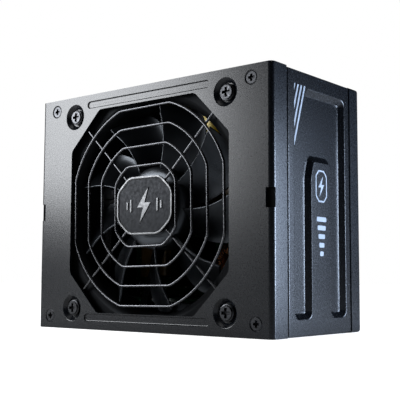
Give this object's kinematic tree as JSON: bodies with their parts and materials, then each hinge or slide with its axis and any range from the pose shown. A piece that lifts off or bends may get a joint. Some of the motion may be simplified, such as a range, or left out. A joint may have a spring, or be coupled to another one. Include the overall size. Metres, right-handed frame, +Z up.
{
  "type": "power supply unit",
  "caption": "Compact computer power supply in a folded sheet-metal case, with a guarded cooling fan, a mains inlet with a rocker switch, and a panel of output sockets.",
  "frame": {"origin": "middle of the footprint, on the outer face of the socket panel that it stands on", "axes": "+Z up from the socket panel to the mains panel, -Y out of the fan face, +X to the right as one faces the fan"},
  "size_m": [0.125, 0.0636, 0.1042],
  "materials": {
    "case_paint": "matte black powder coat with a fine grain",
    "side_paint": "matte black powder coat with a fine grain",
    "grille_wire": "black nickel plating",
    "badge_metal": "satin silver rim with a gunmetal field",
    "dark_screw": "black zinc plating",
    "fan_plastic": "black, slightly glossy",
    "black_plastic": "black, satin",
    "shaft_steel": "ground",
    "brass": "bare",
    "copper": "enamelled copper wire",
    "board_green": "solder mask",
    "yellow_film": "moulded case or polyester tape",
    "ferrite": "sintered, dark grey",
    "heatsink_aluminium": "extruded, bare",
    "capacitor_sleeve": "shrunk sleeve",
    "clear_film": "smoked polyester sheet",
    "fuse_glass": "clear tube",
    "wire_sheath": "black sheath",
    "label_film": "satin dark film"
  },
  "bodies": {
    "case": {"fan_cover": "case_paint", "rear_tray": "case_paint", "side_plate_left": "side_paint", "side_plate_right": "side_paint", "fan_grille": "grille_wire", "grille_badge": "badge_metal", "cover_screw_1": "dark_screw", "cover_screw_2": "dark_screw", "cover_screw_3": "dark_screw", "cover_screw_4": "dark_screw", "fan_screw_1": "dark_screw", "fan_screw_2": "dark_screw", "fan_screw_3": "dark_screw", "fan_screw_4": "dark_screw", "board_screw_1": "dark_screw", "board_screw_2": "dark_screw", "board_screw_3": "dark_screw", "board_screw_4": "dark_screw", "fan_frame": "fan_plastic", "inlet_body": "black_plastic", "switch_housing": "black_plastic", "motherboard_socket_1": "black_plastic", "motherboard_socket_2": "black_plastic", "graphics_socket_1": "black_plastic", "graphics_socket_2": "black_plastic", "graphics_socket_3": "black_plastic", "drive_socket_1": "black_plastic", "drive_socket_2": "black_plastic", "fan_plug": "black_plastic", "bridge_rectifier": "black_plastic", "fan_bearing": "brass", "inlet_blade_live": "brass", "inlet_blade_earth": "brass", "inlet_blade_neutral": "brass", "fan_stator": "copper", "line_choke": "copper", "output_choke": "copper", "main_board": "board_green", "socket_board": "board_green", "filter_capacitor_1": "yellow_film", "filter_capacitor_2": "yellow_film", "boost_choke": "yellow_film", "transformer_winding": "yellow_film", "standby_transformer": "yellow_film", "transformer_core": "ferrite", "rectifier_heatsink": "heatsink_aluminium", "primary_heatsink": "heatsink_aluminium", "output_heatsink": "heatsink_aluminium", "bulk_capacitor": "capacitor_sleeve", "output_capacitor_1": "capacitor_sleeve", "output_capacitor_2": "capacitor_sleeve", "insulator_sheet": "clear_film", "mains_fuse": "fuse_glass", "mains_harness": "wire_sheath", "fan_lead": "wire_sheath", "rating_label": "label_film"},
    "fan_rotor": {"fan_impeller": "fan_plastic", "fan_magnet_ring": "ferrite", "fan_shaft": "shaft_steel"},
    "rocker": {"switch_rocker": "black_plastic"}
  },
  "joints": [
    {"name": "fan_spin", "type": "hinge", "parent": "case", "child": "fan_rotor", "pos_m": [0, -0.02095, 0.05], "axis": [0, 1, 0], "continuous": true},
    {"name": "rocker_tilt", "type": "hinge", "parent": "case", "child": "rocker", "pos_m": [-0.011, 0.0075, 0.0985], "axis": [1, 0, 0], "range_deg": [0, 18]}
  ]
}
